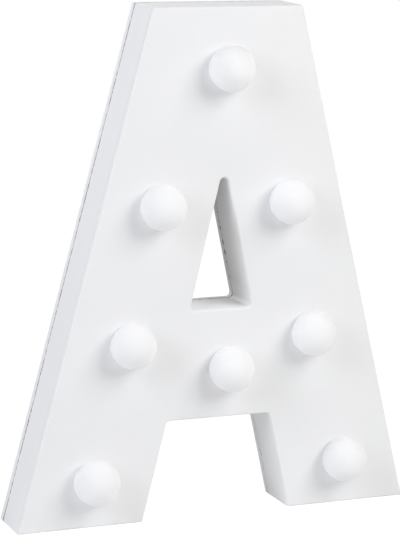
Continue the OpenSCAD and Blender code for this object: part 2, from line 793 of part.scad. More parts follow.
// The battery tray: an open box with cradle ribs, hinge bores and screw ears
module battery_tray() {
  color("whitesmoke") difference() {
    union() {
      difference() {
        tray_block(tray_length, tray_height, bay_floor - tray_floor, rim_depth);
        tray_block(bay_length, bay_height, bay_floor, rim_depth + over);
      }
      cradle_ribs();
      door_ledge();
      for (side = [-1, 1]) tray_ear(side);
    }
    for (side = [-1, 1]) {
      tray_hinge_bore(side);
      rod([side * ear_x, tray_z], rim_depth - tray_screw_length - screw_fit, body_depth + over,
        screw_diameter / 2 + screw_fit);
    }
    tag_slot(cell_offset, switch_wire_depth);
    tag_slot(-cell_offset, negative_depth);
  }
}
module tray_block(length, height, from, to) {
  box([-length / 2, length / 2], [from, to], [tray_z - height / 2, tray_z + height / 2]);
}
module cradle_ribs() {
  difference() {
    for (x = [-1, 0, 1] * bay_length / 4)
      box(
        [x - rib_thickness / 2, x + rib_thickness / 2],
        [bay_floor - tray_floor / 2, bay_floor + rib_height],
        [tray_z - bay_height / 2 - tray_wall / 2, tray_z + bay_height / 2 + tray_wall / 2]
      );
    for (side = [-1, 1])
      bar(-bay_length / 2, bay_length / 2, cell_depth, tray_z + side * cell_offset,
        cell_diameter / 2 + solder_gap);
  }
}
// A ledge on the lower wall that stops the door
module door_ledge() {
  box(
    [-tongue_width, tongue_width],
    [door_back - push_fit - tray_wall, door_back - push_fit],
    [tray_z - bay_height / 2 - tray_wall / 2, tray_z - bay_height / 2 + 2 * door_gap + tray_wall / 2]
  );
}
module tray_ear(side) {
  inner = tray_length / 2 - tray_wall / 2;
  rod([side * ear_x, tray_z], body_depth - ear_length, body_depth, ear_radius);
  box(
    [min(side * inner, side * ear_x), max(side * inner, side * ear_x)],
    [body_depth - ear_length, body_depth],
    [tray_z - ear_radius, tray_z + ear_radius]
  );
}
module tray_hinge_bore(side) {
  start = side * bay_length / 2 - over;
  bar(start, start + 2 * over, hinge_depth, hinge_z, pin_diameter / 2 + pin_fit);
  bar(min(0, side * (pin_length + push_fit)) + side * bay_length / 2,
    max(0, side * (pin_length + push_fit)) + side * bay_length / 2,
    hinge_depth, hinge_z, pin_diameter / 2 + pin_fit);
}
// A slot in the right end wall for a contact's solder tag
module tag_slot(offset, depth) {
  box(
    [bay_length / 2 - over / 2, tray_length / 2 + over],
    [depth - contact_thickness / 2 - push_fit, depth + contact_thickness / 2 + push_fit],
    [tray_z + offset - tag_width / 2 - push_fit, tray_z + offset + tag_width / 2 + push_fit]
  );
}

// The door: a plate with a round upper edge on two pins and a snap tongue below
module battery_door() {
  bottom = tray_z - bay_height / 2 + door_gap;
  half = door_length / 2;
  pin_end = half + door_gap + pin_length;
  color("whitesmoke") difference() {
    union() {
      box([-half, half], [door_back, rim_depth], [bottom, hinge_z]);
      bar(-half, half, hinge_depth, hinge_z, door_thickness / 2);
      bar(-pin_end, pin_end, hinge_depth, hinge_z, pin_diameter / 2);
      box(
        [-tongue_width / 4, tongue_width / 4],
        [door_back, hinge_depth],
        [bottom - door_gap / 2, bottom + door_gap]
      );
    }
    for (side = [-1, 1])
      box(
        [side * tongue_width / 2 - slit_width / 2, side * tongue_width / 2 + slit_width / 2],
        [door_back - over, rim_depth + over],
        [bottom - over, bottom + tongue_length]
      );
    translate([0, face_y + rim_depth - dish_depth + dish_radius, bottom + tongue_length / 2])
      sphere(dish_radius);
  }
}

// Cells: a can with a positive button, pointing right (1) or left (-1)
module cell(side) {
  z = tray_z + side * cell_offset;
  tip = bay_length / 2 - contact_thickness - push_fit;
  color("slategray") {
    bar(
      min(side * (tip - cell_length), side * (tip - button_height)),
      max(side * (tip - cell_length), side * (tip - button_height)),
      cell_depth, z, cell_diameter / 2
    );
    bar(
      min(side * (tip - button_height), side * tip),
      max(side * (tip - button_height), side * tip),
      cell_depth, z, button_diameter / 2
    );
  }
}
module cell_upper() {
  cell(1);
}
module cell_lower() {
  cell(-1);
}

// Contact plates against the bay's end walls
module contact_plate(end, low, high) {
  inside = bay_length / 2 - contact_thickness;
  box(
    [min(end * inside, end * bay_length / 2), max(end * inside, end * bay_length / 2)],
    [cell_depth - contact_side / 2, cell_depth + contact_side / 2],
    [low, high]
  );
}
module solder_tag(offset, depth) {
  box(
    [bay_length / 2 - contact_thickness, tag_end],
    [depth - contact_thickness / 2, depth + contact_thickness / 2],
    [tray_z + offset - tag_width / 2, tray_z + offset + tag_width / 2]
  );
}
module contact_bridge() {
  reach = cell_offset + contact_side / 2;
  color("gainsboro") contact_plate(-1, tray_z - reach, tray_z + reach);
}
module contact_positive() {
  z = tray_z + cell_offset;
  color("gainsboro") {
    contact_plate(1, z - contact_side / 2, z + contact_side / 2);
    solder_tag(cell_offset, switch_wire_depth);
  }
}
module contact_negative() {
  z = tray_z - cell_offset;
  color("gainsboro") {
    contact_plate(1, z - contact_side / 2, z + contact_side / 2);
    solder_tag(-cell_offset, negative_depth);
  }
}

// A spring on the plate at one end, pointing into the bay
module contact_spring(end, offset) {
  color("gainsboro")
    translate([end * (bay_length / 2 - contact_thickness), face_y + cell_depth, tray_z + offset])
      rotate([0, 0, end > 0 ? 180 : 0])
        tube(spring_path, spring_spokes, spring_wire / 2, spring_sides);
}
module spring_bridge() {
  contact_spring(-1, cell_offset);
}
module spring_negative() {
  contact_spring(1, -cell_offset);
}

// The switch: a steel frame with a drawn can behind the back panel
module switch_box(length, width, from, to, shift = 0) {
  box(
    [switch_x + shift - length / 2, switch_x + shift + length / 2],
    [from, to],
    [switch_z - width / 2, switch_z + width / 2]
  );
}
module switch_frame() {
  color("silver") difference() {
    union() {
      switch_box(frame_length, frame_width, frame_depth, body_depth);
      switch_box(can_length, can_width, can_back, frame_depth);
    }
    switch_box(can_bore_length, can_bore_width, can_back - over, frame_depth);
    switch_box(stem_slot_length, stem_slot_width, can_back, body_depth + over);
    for (side = [-1, 1])
      rod([switch_x + side * switch_screw_spacing / 2, switch_z], frame_depth - over, body_depth + over,
        small_screw_diameter / 2 + screw_fit);
  }
}
// The board that closes the can and holds the lugs
module switch_base() {
  base_top = can_back + base_thickness;
  color("peru") difference() {
    switch_box(can_bore_length - 2 * push_fit, can_bore_width - 2 * push_fit, can_back, base_top);
    for (shift = [-1, 0, 1] * lug_pitch)
      switch_box(lug_thickness + 2 * push_fit, lug_width + 2 * push_fit, can_back - over, base_top + over,
        shift);
  }
}
// Three solder lugs, each with a contact pad inside the can
module switch_lugs() {
  color("gainsboro") for (shift = [-1, 0, 1] * lug_pitch) {
    switch_box(lug_thickness, lug_width, lug_end, can_back + base_thickness, shift);
    switch_box(lug_pitch / 2, lug_width, can_back + base_thickness, lug_top, shift);
  }
}
// The knob at off: a slider inside the can and a grooved stem in the finger dish
module switch_knob() {
  color("black") difference() {
    union() {
      switch_box(slider_length, slider_width, slider_back, slider_front, off_shift);
      switch_box(stem_length, stem_width, slider_front - over, rim_depth - slide_gap, off_shift);
    }
    for (k = [-1, 0, 1])
      switch_box(knob_groove, stem_width + over, rim_depth - slide_gap - knob_groove, total_depth,
        off_shift + k * stem_length / 4);
  }
}
// The clip under the slider, which bridges two lugs
module switch_clip() {
  color("gold") {
    switch_box(slider_length - over, slider_width - over, slider_back - clip_thickness, slider_back,
      off_shift);
    for (side = [-1, 1])
      switch_box(clip_foot, lug_width, lug_top + slide_gap, slider_back, off_shift + side * lug_pitch / 2);
  }
}
// Pan head screws from the finger dish through the frame
module switch_screws() {
  seat = total_depth - switch_dish_depth;
  color("silver") for (side = [-1, 1]) {
    place = [switch_x + side * switch_screw_spacing / 2, switch_z];
    difference() {
      union() {
        rod(place, seat, seat + small_screw_head_height, small_screw_head / 2);
        rod(place, seat - small_screw_length, seat, small_screw_diameter / 2);
      }
      cross_recess(place, seat + small_screw_head_height, small_screw_diameter);
    }
  }
}

front_shell();
back_panel();
back_screws();
for (b = BULBS) {
  bulb(b[1]);
  lamp_holder(b[1]);
  led(b[0]);
}
wire_positive();
wire_negative();
switch_wires();
battery_tray();
tray_screws();
battery_door();
cell_upper();
cell_lower();
contact_bridge();
contact_positive();
contact_negative();
spring_bridge();
spring_negative();
switch_frame();
switch_base();
switch_lugs();
switch_knob();
switch_clip();
switch_screws();
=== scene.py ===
"""Looks of the light-up letter: a painted board shell with frosted globes, and the battery
tray, door and slide switch in its back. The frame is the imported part's: the face looks along
-Y, +Z is up and the feet stand on z = 0. Shapes are worked out in millimetres and written to
the meshes in metres."""
import json
import math
from typing import NamedTuple

import bmesh
import bpy
import numpy as np
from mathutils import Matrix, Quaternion, Vector
from mathutils.geometry import delaunay_2d_cdt


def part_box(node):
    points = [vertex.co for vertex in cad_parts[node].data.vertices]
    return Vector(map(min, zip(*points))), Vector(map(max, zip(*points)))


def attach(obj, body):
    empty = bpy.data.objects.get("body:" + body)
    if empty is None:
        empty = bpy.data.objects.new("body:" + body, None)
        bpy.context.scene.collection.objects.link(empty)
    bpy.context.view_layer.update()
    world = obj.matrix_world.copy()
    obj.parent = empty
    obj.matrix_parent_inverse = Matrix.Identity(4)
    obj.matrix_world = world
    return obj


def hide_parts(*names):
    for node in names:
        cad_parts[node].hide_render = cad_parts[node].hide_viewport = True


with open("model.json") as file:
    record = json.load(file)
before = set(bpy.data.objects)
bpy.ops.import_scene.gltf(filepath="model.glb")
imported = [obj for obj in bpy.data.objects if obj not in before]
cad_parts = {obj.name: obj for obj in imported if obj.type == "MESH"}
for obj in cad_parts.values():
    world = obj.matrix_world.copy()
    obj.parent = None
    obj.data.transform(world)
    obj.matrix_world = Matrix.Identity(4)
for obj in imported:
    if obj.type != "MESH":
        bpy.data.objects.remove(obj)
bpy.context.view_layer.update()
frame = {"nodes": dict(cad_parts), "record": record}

MM = 0.001


def box_mm(node):
    """Lowest and highest corner of a node of the frame, in millimetres."""
    return [np.array(corner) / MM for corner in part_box(node)]


def middle_mm(node):
    """Middle of a node's box, in millimetres."""
    return np.mean(box_mm(node), axis=0)


# Sizes of the letter in millimetres, from the frame where a node's box shows them.
# Depths are counted from the face towards the back.
shell_low, shell_high = box_mm("front_shell")
FACE_Y = shell_low[1]
LETTER_HEIGHT = shell_high[2]
FOOT_SPAN = shell_high[0] - shell_low[0]
BODY_DEPTH = shell_high[1] - FACE_Y
TOTAL_DEPTH = box_mm("back_panel")[1][1] - FACE_Y
TOP_WIDTH = 69.5
NOTCH_WIDTH = 70.0
NOTCH_TOP_WIDTH = 48.8
NOTCH_HEIGHT = 44.6
COUNTER_BASE = 93.4
COUNTER_WIDTH = 29.4
APEX_DEPTH = 66.8
ROUTER_RADIUS = 2.0
EDGE_RADIUS = 1.0
FACE_THICKNESS = 4.0
WALL = 5.0
CAVITY_RADIUS = 3.0
SEAM_GAP = 0.3
SEAM_DEPTH = 0.6
FLUSH_DROP = 0.1
# Paint rounds the outer corners a little, and sanding eases the back edges
CORNER_RADIUS = 0.4
BACK_EASE = 0.25

# Globes
BULB_NAMES = (
    "top", "left_upper", "right_upper", "left_middle", "right_middle",
    "crossbar", "left_foot", "right_foot",
)
BULB_RADIUS = 10.0
BULB_STAND = 5.0
SOCKET_END = 1.2
NECK_RADIUS = 5.9
NECK_BORE = 4.8
NECK_LENGTH = 6.5
BEAD_HEIGHT = 0.5
BEAD_LENGTH = 1.2
PUSH_FIT = 0.1

# Screws, tray, switch and keyhole in the back panel
SCREW_RADIUS = 1.5
SCREW_HEAD = 3.0
SCREW_LENGTH = 14.0
SCREW_FIT = 0.05
SCREW_OFFSET = 2.0
PAD_RADIUS = 4.5
SMALL_SCREW_RADIUS = 1.0
TRAY_HALF_LENGTH = 29.85
LOOSE_FIT = 0.2
DISH_DEPTH = 2.2
DISH_LENGTH = 28.0
DISH_WIDTH = 12.0
STEM_SLOT = (7.6, 3.6)
SWITCH_SCREW_SPACING = 19.0
KEYHOLE_RADIUS = 4.5
KEYHOLE_SLOT = 4.6
KEYHOLE_RISE = 7.0

# Cells and contact springs. The flat and the groove of a base, the end of the film and the groove on
# top are counted inwards from the rounded edge, and the band as shares of the length.
CELL_LIP = 0.6
CELL_GROOVE = 0.25
BASE_FLAT = 1.3
BASE_GROOVE = (1.0, 0.3)
FILM_END = 0.8
TOP_GROOVE = 0.9
CELL_BAND = (0.70, 0.78)
# Places of the metal and of the band among a cell's finishes, after the film
METAL_FINISH = 1
BAND_FINISH = 2
BUTTON_RADIUS = 2.75
BUTTON_HEIGHT = 1.0
SPRING_WIRE = 0.8
SPRING_TURNS = 3
SPRING_LARGE = 4.8
SPRING_SMALL = 2.4

# Fineness of the meshes
ARC_STEPS = 8
SIDE_STEPS = 24
WALL_STEPS = 5
EDGE_STEPS = 6
BEVEL_STEPS = 2
ROUND_STEPS = 48
GLOBE_STEPS = 72
WIRE_SIDES = 12
# Bends from which an edge is sharp in a piece made here, and creased or broken in a node's own shape,
# and the bend up to which faces are one flat
SHARP_ANGLE = math.radians(35)
CREASE_ANGLE = math.radians(16)
EASED_ANGLE = math.radians(25)
FLAT_ANGLE = math.radians(0.5)
# Points nearer than this are one, in a mesh and where loops are cut
WELD = 0.002
CUT_WELD = WELD / 10

# Rounds of broken edges, and the shortest edge of a moulding that is broken
SEAM_EASE = 0.15
TRAY_EDGE = 0.2
DOOR_EDGE = 0.25
KNOB_EDGE = 0.15
SCREW_EDGE = 0.1
SHORTEST_EDGE = 0.7


class Part(NamedTuple):
    """Points in millimetres, faces of three or four point numbers, and how the faces are finished."""
    points: np.ndarray
    faces: np.ndarray
    smooth: bool = True
    finish: int = 0


def unit(vectors):
    """Vectors at length 1."""
    return vectors / np.linalg.norm(vectors, axis=-1, keepdims=True)


def grid(points, finish=0):
    """Quads over points in rows and columns, where each row closes into a ring."""
    rows, columns = points.shape[:2]
    number = np.arange(rows * columns).reshape(rows, columns)
    number = np.concatenate([number, number[:, :1]], axis=1)
    corners = [number[:-1, :-1], number[:-1, 1:], number[1:, 1:], number[1:, :-1]]
    return Part(points.reshape(-1, 3), np.stack(corners, -1).reshape(-1, 4), finish=finish)


def upright(plane, depth):
    """Places on the face, as x and z, moved to a depth behind it."""
    deep = np.broadcast_to(FACE_Y + np.asarray(depth, float), plane.shape[:-1])
    return np.stack([plane[..., 0], deep, plane[..., 1]], -1)


def snapped(points):
    """Points at the single precision that meshes keep, so that loops and cuts agree."""
    return np.asarray(points, np.float32).astype(float)


def moved_in(corners, distance):
    """Corners of an anticlockwise polygon whose sides all move inwards by a distance: each corner
    moves along the sum of its two inward normals, divided by one plus their product."""
    along = unit(np.roll(corners, -1, 0) - corners)
    after = np.stack([-along[:, 1], along[:, 0]], 1)
    before = np.roll(after, 1, 0)
    return corners + distance * (before + after) / (1 + np.sum(before * after, 1, keepdims=True))


def rounded(corners, radii):
    """A polygon whose corners are arcs touching both sides, with evenly spaced points on each
    straight stretch. An arc's centre lies on the corner's bisector, at its radius over the sine
    of half the corner's angle."""
    radii = np.asarray(radii, float)[:, None]
    back = unit(np.roll(corners, 1, 0) - corners)
    on = unit(np.roll(corners, -1, 0) - corners)
    half = np.arccos(np.sum(back * on, 1, keepdims=True)) / 2
    centre = corners + unit(back + on) * radii / np.sin(half)
    start = corners + back * radii / np.tan(half) - centre
    end = corners + on * radii / np.tan(half) - centre
    first = np.arctan2(start[:, 1], start[:, 0])
    cross = start[:, 0] * end[:, 1] - start[:, 1] * end[:, 0]
    turn = np.arctan2(cross, np.sum(start * end, 1))
    angle = first[:, None] + turn[:, None] * np.linspace(0, 1, ARC_STEPS + 1)
    arcs = centre[:, None] + radii[:, None] * np.stack([np.cos(angle), np.sin(angle)], -1)
    share = np.linspace(0, 1, SIDE_STEPS + 1)[1:-1, None]
    sides = arcs[:, -1:] + (np.roll(arcs[:, :1], -1, 0) - arcs[:, -1:]) * share
    return snapped(np.concatenate([arcs, sides], 1).reshape(-1, 2))


# Outlines of the letter, anticlockwise as the face is seen
LETTER_CORNERS = np.array([
    (-FOOT_SPAN / 2, 0),
    (-NOTCH_WIDTH / 2, 0),
    (-NOTCH_TOP_WIDTH / 2, NOTCH_HEIGHT),
    (NOTCH_TOP_WIDTH / 2, NOTCH_HEIGHT),
    (NOTCH_WIDTH / 2, 0),
    (FOOT_SPAN / 2, 0),
    (TOP_WIDTH / 2, LETTER_HEIGHT),
    (-TOP_WIDTH / 2, LETTER_HEIGHT),
])
# Corners of the notch that a router leaves round, and the ends of the two outer sides
INNER_CORNERS = (2, 3)
OUTER_SIDES = ((5, 6), (7, 0))
COUNTER_CORNERS = np.array([
    (-COUNTER_WIDTH / 2, COUNTER_BASE),
    (COUNTER_WIDTH / 2, COUNTER_BASE),
    (0, LETTER_HEIGHT - APEX_DEPTH),
])


def letter_outline(inset, corner_radius=CORNER_RADIUS):
    """The letter's outline, moved into the board by an inset."""
    radii = np.full(len(LETTER_CORNERS), corner_radius)
    radii[list(INNER_CORNERS)] = ROUTER_RADIUS + inset
    return rounded(moved_in(LETTER_CORNERS, inset), radii)


def counter_outline(inset):
    """The counter's outline, moved into the board by an inset."""
    radii = np.full(len(COUNTER_CORNERS), ROUTER_RADIUS + inset)
    return rounded(moved_in(COUNTER_CORNERS, -inset), radii)


def circle(place, radius):
    """Points round a place on the face."""
    angle = np.linspace(0, 2 * np.pi, ROUND_STEPS, endpoint=False)[:, None]
    return snapped(place + radius * np.concatenate([np.cos(angle), np.sin(angle)], 1))


def rectangle(place, width, height):
    """Corners of an upright rectangle round a place on the face."""
    corners = np.array([(-1, -1), (1, -1), (1, 1), (-1, 1)])
    return snapped(place + corners * np.array([width, height]) / 2)


def stadium(place, length, width):
    """A flat shape with straight sides and round ends: a circle whose halves are pulled apart."""
    ring = circle(np.zeros(2), width / 2)
    ring[:, 0] += np.where(ring[:, 0] >= 0, 1, -1) * (length - width) / 2
    return snapped(place + ring)


def keyhole(place):
    """A round entry with a slot that rises from it: the entry's arc below, a small arc on top."""
    meet = math.asin(KEYHOLE_SLOT / 2 / KEYHOLE_RADIUS)
    below = np.linspace(np.pi / 2 + meet, 5 * np.pi / 2 - meet, ROUND_STEPS)[:, None]
    above = np.linspace(0, np.pi, ROUND_STEPS // 2)[:, None]
    entry = KEYHOLE_RADIUS * np.concatenate([np.cos(below), np.sin(below)], 1)
    slot = KEYHOLE_SLOT / 2 * np.concatenate([np.cos(above), np.sin(above)], 1)
    return snapped(place + np.concatenate([entry, slot + (0, KEYHOLE_RISE)]))


def carried(outline, profile):
    """A profile of insets and depths carried along an outline: each pair gives one ring."""
    return grid(np.stack([upright(outline(inset), depth) for inset, depth in profile]))


def inside(points, loop):
    """Whether each point lies in a closed loop: a level line to its right crosses it oddly often."""
    x, z = points[:, :1], points[:, 1:]
    (ax, az), (bx, bz) = loop.T, np.roll(loop, -1, 0).T
    crosses = (az > z) != (bz > z)
    rise = np.where(bz == az, 1, bz - az)
    return np.sum(crosses & (x < ax + (z - az) * (bx - ax) / rise), 1) % 2 == 1


def any_inside(points, loops):
    """Whether each point lies in at least one of several loops."""
    return np.any([inside(points, loop) for loop in loops], axis=0)


def terraces(loops, level):
    """Flat steps of a routed board and the upright walls between them. The loops cut the plane
    into triangles, level gives each triangle's depth from its middle, or nan where the board is
    open, and an edge between two depths becomes a wall."""
    sizes = np.array([len(loop) for loop in loops])
    first = np.cumsum(sizes) - sizes
    edges = [f + np.stack([np.arange(n), np.roll(np.arange(n), -1)], 1) for f, n in zip(first, sizes)]
    points = [Vector(p) for p in np.concatenate(loops)]
    cut = delaunay_2d_cdt(points, np.concatenate(edges).tolist(), [], 0, CUT_WELD)
    plane = np.array([tuple(p) for p in cut[0]])
    triangles = np.array([tuple(f) for f in cut[2]])
    depth = level(plane[triangles].mean(1))
    kept = ~np.isnan(depth)
    triangles, depth = triangles[kept], depth[kept]
    steps = upright(plane[triangles], depth[:, None])
    flats = Part(steps.reshape(-1, 3), np.arange(triangles.size).reshape(-1, 3), smooth=False)
    sides = triangles[:, [[0, 1], [1, 2], [2, 0]]].reshape(-1, 2)
    owner = np.repeat(np.arange(len(triangles)), 3)
    order = np.lexsort(np.sort(sides, 1).T)
    same = np.all(np.sort(sides[order[:-1]], 1) == np.sort(sides[order[1:]], 1), 1)
    one, two = order[:-1][same], order[1:][same]
    differ = depth[owner[one]] != depth[owner[two]]
    one, two = one[differ], two[differ]
    ends, high, low = plane[sides[one]], depth[owner[one]], depth[owner[two]]
    quads = np.concatenate([upright(ends, high[:, None]), upright(ends[:, ::-1], low[:, None])], 1)
    walls = Part(quads.reshape(-1, 3), np.arange(len(quads) * 4).reshape(-1, 4), smooth=False)
    return [flats, walls]


def turned(profile, place, axis, finish=0):
    """A profile of radii and distances along an axis, turned about the axis through a place."""
    axis = np.asarray(axis, float)
    side = unit(np.cross(axis, np.roll(axis, 1)))
    angle = np.linspace(0, 2 * np.pi, GLOBE_STEPS, endpoint=False)[:, None]
    spoke = np.cos(angle) * side + np.sin(angle) * np.cross(axis, side)
    radius, along = np.asarray(profile, float).T
    return grid(place + along[:, None, None] * axis + radius[:, None, None] * spoke, finish)


def arc(centre, radius, start, end, steps):
    """Points of a circle's arc in a profile, from one angle to another in degrees."""
    angle = np.radians(np.linspace(start, end, steps + 1))[:, None]
    return np.asarray(centre) + radius * np.concatenate([np.cos(angle), np.sin(angle)], 1)


def quarter(radius):
    """A quarter round of an edge, as insets and depths: from the face at one radius inside the
    edge to the wall at one radius behind the face."""
    angle = np.linspace(0, np.pi / 2, EDGE_STEPS + 1)
    return radius * np.stack([1 - np.sin(angle), 1 - np.cos(angle)], 1)


def add_piece(name, parts, finishes, body, nodes):
    """One object of all parts, welded, with its faces pointing outwards. It rides on a body, takes
    its finishes and stands for nodes of the frame, which it hides."""
    counts = np.array([len(part.points) for part in parts])
    first = np.cumsum(counts) - counts
    faces = [face for part, f in zip(parts, first) for face in (part.faces + f).tolist()]
    mesh = bpy.data.meshes.new(name)
    mesh.from_pydata(np.concatenate([part.points for part in parts]) * MM, [], faces)
    lengths = [len(part.faces) for part in parts]
    mesh.polygons.foreach_set("use_smooth", np.repeat([part.smooth for part in parts], lengths))
    mesh.polygons.foreach_set("material_index", np.repeat([part.finish for part in parts], lengths))
    weld = bmesh.new()
    weld.from_mesh(mesh)
    bmesh.ops.remove_doubles(weld, verts=weld.verts, dist=WELD * MM)
    bmesh.ops.recalc_face_normals(weld, faces=weld.faces)
    weld.to_mesh(mesh)
    weld.free()
    mesh.set_sharp_from_angle(angle=SHARP_ANGLE)
    for finish in finishes:
        mesh.materials.append(finish)
    made = bpy.data.objects.new(name, mesh)
    bpy.context.scene.collection.objects.link(made)
    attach(made, body)
    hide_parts(*nodes)


# Sockets of a node that mixes colours: its share, the two colours and the result
MIX_SHARE = 0
MIX_FIRST = 6
MIX_SECOND = 7
MIX_RESULT = 2


def srgb(code):
    """A hex colour such as F2F2F0 as linear red, green, blue and alpha."""
    parts = np.array([int(code[i:i + 2], 16) for i in (0, 2, 4)]) / 255
    linear = np.where(parts <= 0.04045, parts / 12.92, ((parts + 0.055) / 1.055) ** 2.4)
    return (*linear.tolist(), 1.0)


def add_node(tree, kind, inputs=None, **settings):
    """Adds a node. Settings are its properties, and each input is a value or an output to link."""
    made = tree.nodes.new(kind)
    for name, value in settings.items():
        setattr(made, name, value)
    for key, value in (inputs or {}).items():
        if isinstance(value, bpy.types.NodeSocket):
            tree.links.new(value, made.inputs[key])
        else:
            made.inputs[key].default_value = value
    return made


def start_finish(name, **sockets):
    """A material with one Principled shader; returns it, its tree, the shader and Object coordinates."""
    made = bpy.data.materials.new(name)
    made.use_nodes = True
    tree = made.node_tree
    shader = tree.nodes["Principled BSDF"]
    for key, value in sockets.items():
        shader.inputs[key.replace("_", " ")].default_value = value
    place = add_node(tree, "ShaderNodeTexCoord").outputs["Object"]
    return made, tree, shader, place


def per_metre(size):
    """Scale of a noise whose features are about as wide as a size in millimetres."""
    return 1 / (size * MM)


class InnerWallShade(NamedTuple):
    """Painted shade on inner walls: the height of its middle on the letter and its reach from there in
    millimetres, the power by which it grows from the face to the seam, and its share at the seam."""
    height: float
    reach: float
    power: float
    share: float


# Paint and the inner walls' painted shade, with sizes in millimetres
# Painted shade on the walls of the counter and of the notch
COUNTER_SHADE = InnerWallShade(height=130.0, reach=30.0, power=0.75, share=1.0)
NOTCH_SHADE = InnerWallShade(height=8.0, reach=48.0, power=0.3, share=0.3)
SHADE_FADE = 8.0
MOTTLE_SIZE = 45.0
PEEL_SIZE = 1.4
PEEL_DEPTH = 0.05
FLAKE_SIZE = 2.4
# Distances from the seam where its dark line and its chips begin to fade, and where they have ended
SEAM_LINE = (0.25, 0.45)
CHIP_REACH = (0.4, 1.1)
# Bare board and painted gap shade in the seam's line where flakes are few and many, and the part of it
# left under the inner walls' painted shade
FLAKE_LEVELS = (0.38, 0.62)
LINE_SHARES = (0.2, 0.9)
FILLED_SHARE = 0.2
# Level of the flakes where a chip begins and where it is bare, and how much the inner walls' painted
# shade adds to it
CHIP_LEVELS = (0.66, 0.70)
CHIP_GAIN = 0.1

# Globes and plastics, with sizes in millimetres
GLOBE_SCATTER = 12.0
FROST_SIZE = 0.5
FROST_DEPTH = 0.02
CLOUD_SIZE = 12.0
GRAIN_DEPTH = 0.03
# How strongly the grain stands out on a moulding and on a film, the length of a metal's streaks in
# their own widths, and how far its roughness spreads
MOULD_RELIEF = 0.25
FILM_RELIEF = 0.03
STREAK_LENGTH = 10
METAL_SPREAD = 0.1


